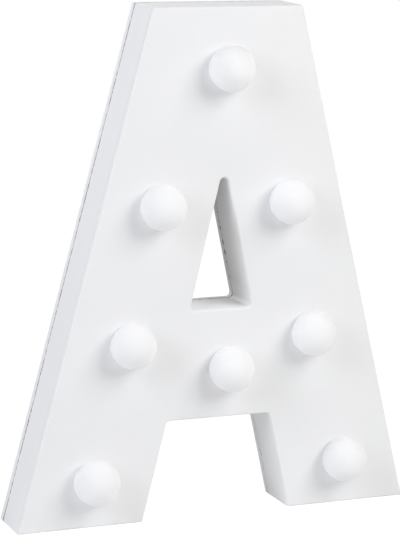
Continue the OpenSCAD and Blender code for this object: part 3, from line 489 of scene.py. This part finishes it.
def satin_paint():
    """Satin paint on fibreboard, rolled on: nearly even, with soft mottling and a fine orange peel. The
    walls of the counter and the notch carry painted shade, more of it deeper in, bare board and painted
    shade of the gap show as a dark line in the seam, and small chips lie beside the seam, most of them
    on those inner walls."""
    made, tree, shader, place = start_finish(
        "satin_paint_on_fibreboard", IOR=1.48, Specular_IOR_Level=0.35)
    mottle = add_node(tree, "ShaderNodeTexNoise", {
        "Vector": place, "Scale": per_metre(MOTTLE_SIZE), "Detail": 3.0})
    tone = add_node(tree, "ShaderNodeMix", {
        MIX_SHARE: mottle.outputs["Fac"], MIX_FIRST: srgb("F4F4F4"), MIX_SECOND: srgb("F0F1F1")},
        data_type="RGBA")

    # Painted shade on the inner walls within reach of its middle on the letter, more of it towards the
    # seam, and none on the eased back edge
    depth = add_node(tree, "ShaderNodeSeparateXYZ", {0: place}).outputs["Y"]
    flat = add_node(tree, "ShaderNodeVectorMath", {0: place, 1: (1, 0, 1)}, operation="MULTIPLY")
    behind = add_node(tree, "ShaderNodeMapRange", {
        "Value": depth, "From Min": (FACE_Y + EDGE_RADIUS / 2) * MM,
        "From Max": (FACE_Y + BODY_DEPTH) * MM})
    inner_shade = 0.0
    for region in (COUNTER_SHADE, NOTCH_SHADE):
        away = add_node(tree, "ShaderNodeVectorMath", {
            0: flat.outputs["Vector"], 1: (0, 0, region.height * MM)}, operation="DISTANCE")
        close = add_node(tree, "ShaderNodeMapRange", {
            "Value": away.outputs["Value"], "From Min": region.reach * MM,
            "From Max": (region.reach + SHADE_FADE) * MM, "To Min": region.share, "To Max": 0.0})
        deep = add_node(tree, "ShaderNodeMath", {
            0: behind.outputs["Result"], 1: region.power}, operation="POWER")
        wall = add_node(tree, "ShaderNodeMath", {
            0: close.outputs["Result"], 1: deep.outputs[0]}, operation="MULTIPLY")
        inner_shade = add_node(tree, "ShaderNodeMath", {
            0: inner_shade, 1: wall.outputs[0]}, operation="MAXIMUM").outputs[0]
    before = add_node(tree, "ShaderNodeMath", {
        0: depth, 1: (FACE_Y + TOTAL_DEPTH - 2 * BACK_EASE) * MM}, operation="LESS_THAN")
    inner_shade = add_node(tree, "ShaderNodeMath", {
        0: inner_shade, 1: before.outputs[0]}, operation="MULTIPLY").outputs[0]
    # Painted shade: a grey mixed in on the counter's and the notch's walls, darkest deep towards the
    # seam
    tone = add_node(tree, "ShaderNodeMix", {
        MIX_SHARE: inner_shade, MIX_FIRST: tone.outputs[MIX_RESULT], MIX_SECOND: srgb("C8C8C7")},
        data_type="RGBA")

    # The dark line in the seam, bare board and painted shade of the gap, partly filled where the inner
    # walls carry painted shade
    seam = (FACE_Y + BODY_DEPTH + SEAM_GAP / 2) * MM
    off = add_node(tree, "ShaderNodeMath", {0: depth, 1: seam}, operation="SUBTRACT").outputs[0]
    off = add_node(tree, "ShaderNodeMath", {0: off}, operation="ABSOLUTE").outputs[0]
    flakes = add_node(tree, "ShaderNodeTexNoise", {
        "Vector": place, "Scale": per_metre(FLAKE_SIZE), "Detail": 4.0})
    line = add_node(tree, "ShaderNodeMapRange", {
        "Value": off, "From Min": SEAM_LINE[0] * MM, "From Max": SEAM_LINE[1] * MM,
        "To Min": 1.0, "To Max": 0.0})
    worn = add_node(tree, "ShaderNodeMapRange", {
        "Value": flakes.outputs["Fac"], "From Min": FLAKE_LEVELS[0], "From Max": FLAKE_LEVELS[1],
        "To Min": LINE_SHARES[0], "To Max": LINE_SHARES[1]})
    line = add_node(tree, "ShaderNodeMath", {
        0: line.outputs["Result"], 1: worn.outputs["Result"]}, operation="MULTIPLY")
    filled = add_node(tree, "ShaderNodeMapRange", {
        "Value": inner_shade, "From Max": NOTCH_SHADE.share, "To Min": 1.0, "To Max": FILLED_SHARE})
    line = add_node(tree, "ShaderNodeMath", {
        0: line.outputs[0], 1: filled.outputs["Result"]}, operation="MULTIPLY")

    # Chips beside the seam, where the flakes and the inner walls' painted shade together reach a level
    near = add_node(tree, "ShaderNodeMapRange", {
        "Value": off, "From Min": CHIP_REACH[0] * MM, "From Max": CHIP_REACH[1] * MM,
        "To Min": 1.0, "To Max": 0.0})
    bare = add_node(tree, "ShaderNodeMath", {
        0: inner_shade, 1: CHIP_GAIN, 2: flakes.outputs["Fac"]}, operation="MULTIPLY_ADD")
    bare = add_node(tree, "ShaderNodeMapRange", {
        "Value": bare.outputs[0], "From Min": CHIP_LEVELS[0], "From Max": CHIP_LEVELS[1]})
    chip = add_node(tree, "ShaderNodeMath", {
        0: bare.outputs["Result"], 1: near.outputs["Result"]}, operation="MULTIPLY")
    chip = add_node(tree, "ShaderNodeMath", {
        0: chip.outputs[0], 1: line.outputs[0]}, operation="MAXIMUM")
    # Bare board for the chips, and for the seam's line, which also stands in for painted shade in the
    # gap
    colour = add_node(tree, "ShaderNodeMix", {
        MIX_SHARE: chip.outputs[0], MIX_FIRST: tone.outputs[MIX_RESULT], MIX_SECOND: srgb("5E5A52")},
        data_type="RGBA")

    rough = add_node(tree, "ShaderNodeMapRange", {
        "Value": mottle.outputs["Fac"], "To Min": 0.48, "To Max": 0.58})
    peel = add_node(tree, "ShaderNodeTexNoise", {
        "Vector": place, "Scale": per_metre(PEEL_SIZE), "Detail": 2.0})
    bump = add_node(tree, "ShaderNodeBump", {
        "Height": peel.outputs["Fac"], "Strength": 0.12, "Distance": PEEL_DEPTH * MM})
    tree.links.new(colour.outputs[MIX_RESULT], shader.inputs["Base Color"])
    tree.links.new(rough.outputs["Result"], shader.inputs["Roughness"])
    tree.links.new(bump.outputs["Normal"], shader.inputs["Normal"])
    return made


def frosted_globe():
    """Frosted polycarbonate: milky right through, with a slight violet cast and a fine etched grain
    that leaves hardly any gloss."""
    made, tree, shader, place = start_finish(
        "frosted_polycarbonate", Base_Color=srgb("FEFDFF"), IOR=1.58, Specular_IOR_Level=0.15,
        Subsurface_Weight=1.0, Subsurface_Scale=GLOBE_SCATTER * MM, Subsurface_Radius=(1.0, 1.0, 1.0))
    frost = add_node(tree, "ShaderNodeTexNoise", {
        "Vector": place, "Scale": per_metre(FROST_SIZE), "Detail": 2.0})
    rough = add_node(tree, "ShaderNodeMapRange", {
        "Value": frost.outputs["Fac"], "To Min": 0.62, "To Max": 0.75})
    bump = add_node(tree, "ShaderNodeBump", {
        "Height": frost.outputs["Fac"], "Strength": 0.1, "Distance": FROST_DEPTH * MM})
    tree.links.new(rough.outputs["Result"], shader.inputs["Roughness"])
    tree.links.new(bump.outputs["Normal"], shader.inputs["Normal"])
    return made


def moulded_plastic(name, light, dark, rough, grain, relief=MOULD_RELIEF):
    """Moulded plastic or stretched film: two close tones, and a fine grain that stands out by its
    relief, as a spark-eroded mould leaves it or hardly at all."""
    made, tree, shader, place = start_finish(name, IOR=1.5)
    cloud = add_node(tree, "ShaderNodeTexNoise", {
        "Vector": place, "Scale": per_metre(CLOUD_SIZE), "Detail": 2.0})
    tone = add_node(tree, "ShaderNodeMix", {
        MIX_SHARE: cloud.outputs["Fac"], MIX_FIRST: srgb(light), MIX_SECOND: srgb(dark)},
        data_type="RGBA")
    pits = add_node(tree, "ShaderNodeTexNoise", {
        "Vector": place, "Scale": per_metre(grain), "Detail": 2.0})
    shine = add_node(tree, "ShaderNodeMapRange", {
        "Value": pits.outputs["Fac"], "To Min": rough - relief / 3, "To Max": rough + relief / 3})
    bump = add_node(tree, "ShaderNodeBump", {
        "Height": pits.outputs["Fac"], "Strength": relief, "Distance": GRAIN_DEPTH * MM})
    tree.links.new(tone.outputs[MIX_RESULT], shader.inputs["Base Color"])
    tree.links.new(shine.outputs["Result"], shader.inputs["Roughness"])
    tree.links.new(bump.outputs["Normal"], shader.inputs["Normal"])
    return made


def worked_metal(name, light, dark, rough, streak):
    """Plated or rolled metal: fine streaks along x, brighter and duller by turns."""
    made, tree, shader, place = start_finish(name, Metallic=1.0)
    drawn = add_node(tree, "ShaderNodeMapping", {
        "Vector": place, "Scale": (1 / STREAK_LENGTH, 1.0, 1.0)})
    lines = add_node(tree, "ShaderNodeTexNoise", {
        "Vector": drawn.outputs["Vector"], "Scale": per_metre(streak), "Detail": 3.0})
    tone = add_node(tree, "ShaderNodeMix", {
        MIX_SHARE: lines.outputs["Fac"], MIX_FIRST: srgb(light), MIX_SECOND: srgb(dark)},
        data_type="RGBA")
    shine = add_node(tree, "ShaderNodeMapRange", {
        "Value": lines.outputs["Fac"], "To Min": rough - METAL_SPREAD, "To Max": rough + METAL_SPREAD})
    tree.links.new(tone.outputs[MIX_RESULT], shader.inputs["Base Color"])
    tree.links.new(shine.outputs["Result"], shader.inputs["Roughness"])
    return made


def letter_board(bulb_places, screw_places):
    """The shell: eased face edges, walls and back rim carried round letter and counter, a face
    with holes for the necks, and the routed cavity with its screw pads."""
    back_ease = (0, BODY_DEPTH) + np.array([1, -1]) * quarter(BACK_EASE)[::-1]
    depths = np.linspace(3 * EDGE_RADIUS / 2, BODY_DEPTH - 2 * BACK_EASE, WALL_STEPS)
    wall = np.stack([np.zeros(WALL_STEPS), depths], 1)
    edge = np.concatenate([quarter(EDGE_RADIUS), wall, back_ease])
    holes = [circle(place, NECK_RADIUS + PUSH_FIT) for place in bulb_places]
    face_rim = [letter_outline(EDGE_RADIUS), counter_outline(EDGE_RADIUS)]
    back_rim = [letter_outline(BACK_EASE), counter_outline(BACK_EASE)]
    cavity = [letter_outline(WALL, CAVITY_RADIUS), counter_outline(WALL)]
    pads = [circle(place, PAD_RADIUS) for place in screw_places]
    bores = [circle(place, SCREW_RADIUS + SCREW_FIT) for place in screw_places]

    def face_level(points):
        open_air = inside(points, face_rim[1]) | any_inside(points, holes)
        return np.where(inside(points, face_rim[0]) & ~open_air, 0.0, np.nan)

    def back_level(points):
        hollow = inside(points, cavity[0]) & ~inside(points, cavity[1]) & ~any_inside(points, pads)
        depth = np.where(hollow, FACE_THICKNESS, BODY_DEPTH)
        depth = np.where(any_inside(points, bores), BODY_DEPTH - SCREW_LENGTH, depth)
        open_air = inside(points, back_rim[1]) | any_inside(points, holes)
        return np.where(inside(points, back_rim[0]) & ~open_air, depth, np.nan)

    necks = [grid(np.stack([upright(hole, 0), upright(hole, FACE_THICKNESS)])) for hole in holes]
    return [
        carried(letter_outline, edge),
        carried(counter_outline, edge),
        *terraces([*face_rim, *holes], face_level),
        *terraces([*back_rim, *cavity, *holes, *pads, *bores], back_level),
        *necks,
    ]


def globe_bulb(place):
    """A frosted globe on the face, with its neck and snap bead behind the face and a socket for the
    lamp: one profile turned about the neck, from the tip over the outside to the socket's end."""
    seat = math.degrees(math.asin(-BULB_STAND / BULB_RADIUS))
    bead = FACE_THICKNESS + PUSH_FIT
    outline = np.concatenate([
        arc((0, BULB_STAND), BULB_RADIUS, 90, seat, GLOBE_STEPS // 2),
        [(NECK_RADIUS, 0), (NECK_RADIUS, -bead)],
        [(NECK_RADIUS + BEAD_HEIGHT, -bead), (NECK_RADIUS + BEAD_HEIGHT, -bead - BEAD_LENGTH)],
        [(NECK_RADIUS, -bead - BEAD_LENGTH), (NECK_RADIUS, -NECK_LENGTH), (NECK_BORE, -NECK_LENGTH)],
        [(NECK_BORE, SOCKET_END), (0, SOCKET_END)],
    ])
    outline[0, 0] = 0
    return [turned(outline, upright(np.asarray(place), 0), (0, -1, 0))]


def back_board(screw_places):
    """The back panel: its edge carried round letter and counter with the shadow gap in front and
    an eased back, the openings for tray, switch and keyhole, and countersunk screw holes."""
    tray_low, tray_high = box_mm("battery_tray")
    tray_hole = rectangle(middle_mm("battery_tray")[[0, 2]], 2 * (TRAY_HALF_LENGTH + LOOSE_FIT),
                          tray_high[2] - tray_low[2] + 2 * LOOSE_FIT)
    switch_place = middle_mm("switch_frame")[[0, 2]]
    dish = stadium(switch_place, DISH_LENGTH, DISH_WIDTH)
    dish_level = TOTAL_DEPTH - DISH_DEPTH
    stem_slot = rectangle(switch_place, *STEM_SLOT)
    hanger = next(m for m in frame["record"]["mounts"] if m["name"] == "keyhole")
    hang_hole = keyhole(np.array(hanger["pos_m"])[[0, 2]] / MM)
    small_bore = SMALL_SCREW_RADIUS + SCREW_FIT
    small_holes = [circle(switch_place + (side * SWITCH_SCREW_SPACING / 2, 0), small_bore)
                   for side in (-1, 1)]
    shank = SCREW_RADIUS + SCREW_FIT
    head = SCREW_HEAD + SCREW_FIT
    rim = TOTAL_DEPTH - FLUSH_DROP
    sink = [(shank, BODY_DEPTH), (shank, rim + shank - head), (head, rim), (head, TOTAL_DEPTH)]
    sinks = [grid(np.stack([upright(circle(place, radius), depth) for radius, depth in sink]))
             for place in screw_places]
    shanks = [circle(place, shank) for place in screw_places]
    heads = [circle(place, head) for place in screw_places]
    back_ease = (0, TOTAL_DEPTH) + np.array([1, -1]) * quarter(BACK_EASE)[::-1]
    gap_end = BODY_DEPTH + SEAM_GAP
    front_ease = (0, gap_end) + quarter(SEAM_EASE)
    edge = np.concatenate([
        [(SEAM_DEPTH, BODY_DEPTH), (SEAM_DEPTH, gap_end)],
        front_ease,
        back_ease,
    ])
    front_rim = [letter_outline(SEAM_DEPTH), counter_outline(SEAM_DEPTH)]
    back_rim = [letter_outline(BACK_EASE), counter_outline(BACK_EASE)]

    def front_level(points):
        cut = [front_rim[1], tray_hole, stem_slot, hang_hole, *small_holes, *shanks]
        return np.where(inside(points, front_rim[0]) & ~any_inside(points, cut), BODY_DEPTH, np.nan)

    def back_level(points):
        cut = [back_rim[1], tray_hole, stem_slot, hang_hole, *small_holes, *heads]
        depth = np.where(inside(points, dish), dish_level, TOTAL_DEPTH)
        return np.where(inside(points, back_rim[0]) & ~any_inside(points, cut), depth, np.nan)

    def hole_wall(loop, end):
        return grid(np.stack([upright(loop, BODY_DEPTH), upright(loop, end)]))

    return [
        carried(letter_outline, edge),
        carried(counter_outline, edge),
        *terraces([*front_rim, tray_hole, stem_slot, hang_hole, *small_holes, *shanks], front_level),
        *terraces([*back_rim, tray_hole, dish, stem_slot, hang_hole, *small_holes, *heads], back_level),
        *sinks,
        hole_wall(tray_hole, TOTAL_DEPTH),
        hole_wall(hang_hole, TOTAL_DEPTH),
        hole_wall(stem_slot, dish_level),
        *[hole_wall(hole, dish_level) for hole in small_holes],
    ]


def dry_cell(node, side):
    """A dry cell: its profile turned about its length, from the base to the button. The base and
    the button are bare metal, and a film with a plain band is shrunk over the can."""
    low, high = box_mm(node)
    place = np.mean([low, high], axis=0)
    place[0] = low[0] if side > 0 else high[0]
    length = high[0] - low[0]
    radius = (high[2] - low[2]) / 2
    lip = radius - CELL_LIP
    shoulder = length - BUTTON_HEIGHT
    groove = [(lip - inner, CELL_GROOVE) for inner in BASE_GROOVE]
    base = [(0, 0), (lip - BASE_FLAT, 0), *groove, (lip, 0)]
    lower_edge = arc((lip, CELL_LIP), CELL_LIP, -90, 0, EDGE_STEPS)
    upper_edge = arc((lip, shoulder - CELL_LIP), CELL_LIP, 0, 90, EDGE_STEPS)
    bands = [length * share for share in CELL_BAND]
    sleeve_low = np.concatenate([lower_edge, [(radius, bands[0])]])
    band = [(radius, bands[0]), (radius, bands[1])]
    sleeve_high = np.concatenate([[(radius, bands[1])], upper_edge, [(lip - FILM_END, shoulder)]])
    top = np.concatenate([
        [(lip - FILM_END, shoulder), (lip - TOP_GROOVE, shoulder - CELL_GROOVE)],
        [(BUTTON_RADIUS + CELL_GROOVE, shoulder - CELL_GROOVE), (BUTTON_RADIUS, shoulder)],
        arc((BUTTON_RADIUS - CELL_GROOVE, length - CELL_GROOVE), CELL_GROOVE, 0, 90, EDGE_STEPS),
        [(0, length)],
    ])
    axis = (side, 0, 0)
    return [
        turned(base, place, axis, finish=METAL_FINISH),
        turned(sleeve_low, place, axis),
        turned(band, place, axis, finish=BAND_FINISH),
        turned(sleeve_high, place, axis),
        turned(top, place, axis, finish=METAL_FINISH),
    ]


def contact_coil(node, side):
    """A conical contact spring: a round wire along a coil that narrows evenly from the plate to the
    cell and lies flat in its first and last half turn. Each ring of the wire stands square to
    the coil, and both ends close to a point."""
    low, high = box_mm(node)
    turn = np.linspace(0, 2 * np.pi * SPRING_TURNS, SPRING_TURNS * ROUND_STEPS + 1)
    share = turn / turn[-1]
    flat = 0.5 / SPRING_TURNS
    rise = np.clip((share - flat) / (1 - 2 * flat), 0, 1)
    rise = rise * rise * (3 - 2 * rise)
    wire = SPRING_WIRE / 2
    along = wire + (high[0] - low[0] - SPRING_WIRE) * rise
    radius = SPRING_LARGE + (SPRING_SMALL - SPRING_LARGE) * share
    outward = np.stack([np.zeros_like(turn), side * np.cos(turn), np.sin(turn)], 1)
    plate = middle_mm(node.replace("spring", "contact"))
    place = np.array([low[0] if side > 0 else high[0], plate[1], middle_mm(node)[2]])
    path = place + outward * radius[:, None] + along[:, None] * np.array([side, 0, 0])
    tangent = unit(np.gradient(path, axis=0))
    across = unit(np.cross(tangent, outward))
    square = np.cross(across, tangent)
    angle = np.linspace(0, 2 * np.pi, WIRE_SIDES, endpoint=False)[None, :, None]
    rings = path[:, None] + wire * (np.cos(angle) * square[:, None] + np.sin(angle) * across[:, None])
    tip_start = np.broadcast_to(path[0], (1, WIRE_SIDES, 3))
    tip_end = np.broadcast_to(path[-1], (1, WIRE_SIDES, 3))
    return [grid(np.concatenate([tip_start, rings, tip_end]))]


def add_eased(name, node, body, edge, shortest=0.0):
    """A node's own shape with its edges broken by a small round, as moulds and tools leave them. An
    edge takes the round where its faces bend enough and it is longer than the shortest one."""
    mesh = frame["nodes"][node].data.copy()
    mesh.name = name
    weld = bmesh.new()
    weld.from_mesh(mesh)
    bmesh.ops.remove_doubles(weld, verts=weld.verts, dist=WELD * MM)
    bmesh.ops.dissolve_limit(weld, angle_limit=FLAT_ANGLE, verts=weld.verts, edges=weld.edges)
    bend = np.array([side.calc_face_angle(0.0) for side in weld.edges])
    length = np.array([side.calc_length() for side in weld.edges])
    weld.to_mesh(mesh)
    weld.free()
    mesh.polygons.foreach_set("use_smooth", np.ones(len(mesh.polygons), bool))
    mesh.set_sharp_from_angle(angle=CREASE_ANGLE)
    broken = (bend > EASED_ANGLE) & (length > shortest * MM)
    weight = mesh.attributes.new("bevel_weight_edge", "FLOAT", "EDGE")
    weight.data.foreach_set("value", broken.astype(float))
    made = bpy.data.objects.new(name, mesh)
    bpy.context.scene.collection.objects.link(made)
    bevel = made.modifiers.new("broken_edges", "BEVEL")
    bevel.width = edge * MM
    bevel.segments = BEVEL_STEPS
    bevel.limit_method = "WEIGHT"
    bevel.use_clamp_overlap = False
    flats = made.modifiers.new("even_flats", "WEIGHTED_NORMAL")
    flats.keep_sharp = True
    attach(made, body)
    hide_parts(node)


# Finishes by slot of the record: light and dark tone, roughness, and the width of grain or streaks
# in millimetres
paint = satin_paint()
nickel = worked_metal("nickel_plated_steel", "D2CEC4", "B5B0A5", 0.28, 0.3)
cell_band = moulded_plastic("printed_pvc_film", "D9DCDF", "CFD3D7", 0.3, 0.8, FILM_RELIEF)
FINISHES = {
    "painted_board": paint,
    "frosted_globe": frosted_globe(),
    "holder_plastic": moulded_plastic("moulded_polypropylene", "ECECE8", "E2E2DE", 0.5, 0.4),
    "led_epoxy": moulded_plastic("cast_epoxy", "F6F2DC", "EFEACC", 0.15, 0.6),
    "red_wire": moulded_plastic("red_pvc_sleeve", "B01E1A", "9C1814", 0.4, 0.5),
    "black_wire": moulded_plastic("black_pvc_sleeve", "1C1C1D", "151516", 0.4, 0.5),
    "tray_plastic": moulded_plastic("moulded_white_abs", "F0F0EE", "EAEAE8", 0.48, 0.45),
    "cell_sleeve": moulded_plastic("shrunk_pvc_film", "6F7C8A", "667380", 0.3, 0.8, FILM_RELIEF),
    "contact_nickel": nickel,
    "screw_steel": worked_metal("zinc_plated_steel", "B0B3B8", "92969C", 0.36, 0.5),
    "switch_steel": worked_metal("tinned_sheet_steel", "B9BABC", "A1A3A6", 0.38, 0.4),
    "switch_board": moulded_plastic("phenolic_paper_board", "7A4A22", "6A3E1B", 0.5, 0.4),
    "knob_plastic": moulded_plastic("moulded_black_abs", "1A1A1B", "131314", 0.42, 0.4),
    "clip_brass": worked_metal("rolled_brass", "D9B565", "C49F50", 0.3, 0.3),
}
slot_of = {row["node"]: row["material_slot"] for row in frame["record"]["subparts"]}
for name, node in frame["nodes"].items():
    node.material_slots[0].material = FINISHES[slot_of[name]]

# The shell, the back panel and the globes. A screw stands at each corner of the letter, one halfway
# up each outer side, and one in each ear of the tray.
bulb_places = [middle_mm("bulb_" + name)[[0, 2]] for name in BULB_NAMES]
screw_corners = moved_in(LETTER_CORNERS, WALL + SCREW_OFFSET)
screw_places = np.concatenate([screw_corners, screw_corners[np.array(OUTER_SIDES)].mean(1)])
ear_place = np.array([box_mm("tray_screws")[1][0] - SCREW_HEAD, middle_mm("tray_screws")[2]])
ear_places = ear_place * [(1, 1), (-1, 1)]
add_piece("letter_shell", letter_board(bulb_places, screw_places), [paint], "letter",
          ["front_shell"])
add_piece("letter_back", back_board(np.concatenate([screw_places, ear_places])), [paint], "letter",
          ["back_panel"])
for name, place in zip(BULB_NAMES, bulb_places):
    add_piece("globe_" + name, globe_bulb(place), [FINISHES["frosted_globe"]], "letter",
              ["bulb_" + name])

# Cells and springs, each end on its own side of the tray
CELL_FINISHES = [FINISHES["cell_sleeve"], nickel, cell_band]
for name, side in (("upper", 1), ("lower", -1)):
    add_piece("dry_cell_" + name, dry_cell("cell_" + name, side), CELL_FINISHES, "letter",
              ["cell_" + name])
for name, side in (("bridge", 1), ("negative", -1)):
    add_piece("coil_" + name, contact_coil("spring_" + name, side), [nickel], "letter",
              ["spring_" + name])

# Moulded and turned pieces, with their edges broken
add_eased("tray_moulding", "battery_tray", "letter", TRAY_EDGE, SHORTEST_EDGE)
add_eased("door_moulding", "battery_door", "door", DOOR_EDGE, SHORTEST_EDGE)
add_eased("switch_button", "switch_knob", "switch", KNOB_EDGE)
for name in ("back_screws", "tray_screws", "switch_screws"):
    add_eased(name + "_turned", name, "letter", SCREW_EDGE)

# Camera at the photograph's viewing angle: its place in metres, its lens and sensor in millimetres
CAMERA_PLACE = Vector((-0.3962, -0.9116, 0.3137))
VIEW_LINE = Vector((0.38337, 0.90166, -0.2001))
CAMERA_ROLL = math.radians(1.343)
LENS = 156.65
SENSOR = 36.0
camera = bpy.data.objects.new("camera", bpy.data.cameras.new("camera"))
bpy.context.scene.collection.objects.link(camera)
camera.data.lens = LENS
camera.data.sensor_width = SENSOR
camera.location = CAMERA_PLACE
camera.rotation_mode = "QUATERNION"
camera.rotation_quaternion = VIEW_LINE.to_track_quat("-Z", "Y") @ Quaternion((0, 0, 1), CAMERA_ROLL)
bpy.context.scene.camera = camera

# Soft studio light: a box at the upper right in front, one on the left that grazes the face, and
# one behind. Each has its place and size in metres, its power in watts and its tint.
AIM = Vector((0, 0, 0.11))
LAMPS = {
    "key_box": ((0.5, -0.7, 0.7), 0.6, 6.05, "FFFEFD"),
    "left_box": ((-0.9, -0.3, 0.6), 0.6, 5.2, "F4F6FF"),
    "back_box": ((0.0, 1.5, 0.42), 0.8, 10.0, "FFFFFF"),
}
AMBIENT = 0.24
for name, (place, size, power, tint) in LAMPS.items():
    light = bpy.data.lights.new(name, "AREA")
    light.shape = "SQUARE"
    light.size = size
    light.energy = power
    light.color = srgb(tint)[:3]
    lamp = bpy.data.objects.new(name, light)
    bpy.context.scene.collection.objects.link(lamp)
    lamp.location = place
    lamp.rotation_mode = "QUATERNION"
    lamp.rotation_quaternion = (AIM - Vector(place)).to_track_quat("-Z", "Y")


def seen_directly(tree):
    """One for a ray from the camera, or one that a glossy or clear surface sends on, and zero for
    the rays that carry soft light."""
    rays = add_node(tree, "ShaderNodeLightPath").outputs
    shiny = add_node(tree, "ShaderNodeMath", {
        0: rays["Is Glossy Ray"], 1: rays["Is Transmission Ray"]}, operation="MAXIMUM")
    return add_node(tree, "ShaderNodeMath", {
        0: rays["Is Camera Ray"], 1: shiny.outputs[0]}, operation="MAXIMUM").outputs[0]


# A white surround, whose soft light is weaker than it looks
world = bpy.data.worlds.new("studio")
bpy.context.scene.world = world
world.use_nodes = True
sky = world.node_tree.nodes["Background"]
sky.inputs["Color"].default_value = (1, 1, 1, 1)
level = add_node(world.node_tree, "ShaderNodeMapRange", {
    "Value": seen_directly(world.node_tree), "To Min": AMBIENT, "To Max": 1.0})
world.node_tree.links.new(level.outputs["Result"], sky.inputs["Strength"])

# A pale floor that looks white but keeps the letter's shadow
FLOOR_SIZE = 1.6
FLOOR_GLOW = 0.88
FLOOR_SHADE = 0.3
backdrop = bpy.data.materials.new("matt_white_backdrop_paper")
backdrop.use_nodes = True
paper = backdrop.node_tree
paper.nodes.remove(paper.nodes["Principled BSDF"])
glow = add_node(paper, "ShaderNodeEmission", {"Strength": FLOOR_GLOW})
shade = add_node(paper, "ShaderNodeBsdfDiffuse", {"Color": (FLOOR_SHADE,) * 3 + (1.0,)})
seen = add_node(paper, "ShaderNodeAddShader", {0: glow.outputs[0], 1: shade.outputs[0]})
plain = add_node(paper, "ShaderNodeBsdfDiffuse", {"Color": srgb("F6F6F6")})
mixed = add_node(paper, "ShaderNodeMixShader", {
    0: seen_directly(paper), 1: plain.outputs[0], 2: seen.outputs[0]})
paper.links.new(mixed.outputs[0], paper.nodes["Material Output"].inputs["Surface"])
floor_mesh = bpy.data.meshes.new("backdrop_floor")
floor_corners = np.array([(-1, -1, 0), (1, -1, 0), (1, 1, 0), (-1, 1, 0)]) * FLOOR_SIZE / 2
floor_mesh.from_pydata(floor_corners, [], [(0, 1, 2, 3)])
floor_mesh.materials.append(backdrop)
floor = bpy.data.objects.new("backdrop_floor", floor_mesh)
bpy.context.scene.collection.objects.link(floor)

bpy.context.scene.view_settings.view_transform = "Standard"
